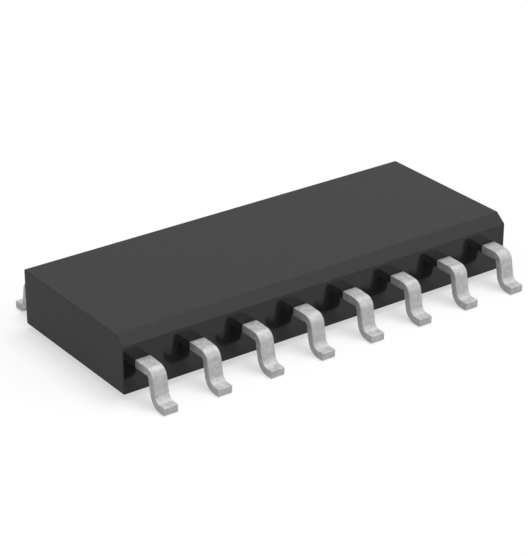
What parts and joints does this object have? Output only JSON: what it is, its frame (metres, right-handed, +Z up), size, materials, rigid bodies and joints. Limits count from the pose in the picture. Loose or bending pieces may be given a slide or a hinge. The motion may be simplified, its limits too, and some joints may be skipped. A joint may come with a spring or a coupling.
{
  "type": "small-outline integrated circuit package",
  "caption": "Flat black moulded chip package with gull-wing leads along both long sides and a bevelled long top edge.",
  "frame": {"origin": "on the board plane under the middle of the package, level with the undersides of the feet", "axes": "+X along the package, +Y across it away from the bevelled side, +Z up from the board"},
  "size_m": [0.0098, 0.0058, 0.0014],
  "materials": {
    "moulding_compound": "fine matte black moulding",
    "tin_plate": "matte tin plating on copper alloy",
    "copper_alloy": "bare stamped copper alloy",
    "silver_glue": "silver-filled glue",
    "silicon": "polished silicon",
    "gold_wire": "drawn gold wire"
  },
  "bodies": {
    "root": {"moulded_body": "moulding_compound", "die_pad": "copper_alloy", "die_attach": "silver_glue", "silicon_die": "silicon", "lead_1": "tin_plate", "lead_2": "tin_plate", "lead_3": "tin_plate", "lead_4": "tin_plate", "lead_5": "tin_plate", "lead_6": "tin_plate", "lead_7": "tin_plate", "lead_8": "tin_plate", "lead_9": "tin_plate", "lead_10": "tin_plate", "lead_11": "tin_plate", "lead_12": "tin_plate", "lead_13": "tin_plate", "lead_14": "tin_plate", "lead_15": "tin_plate", "lead_16": "tin_plate", "bond_wire_1": "gold_wire", "bond_wire_2": "gold_wire", "bond_wire_3": "gold_wire", "bond_wire_4": "gold_wire", "bond_wire_5": "gold_wire", "bond_wire_6": "gold_wire", "bond_wire_7": "gold_wire", "bond_wire_8": "gold_wire", "bond_wire_9": "gold_wire", "bond_wire_10": "gold_wire", "bond_wire_11": "gold_wire", "bond_wire_12": "gold_wire", "bond_wire_13": "gold_wire", "bond_wire_14": "gold_wire", "bond_wire_15": "gold_wire", "bond_wire_16": "gold_wire"}
  },
  "joints": []
}
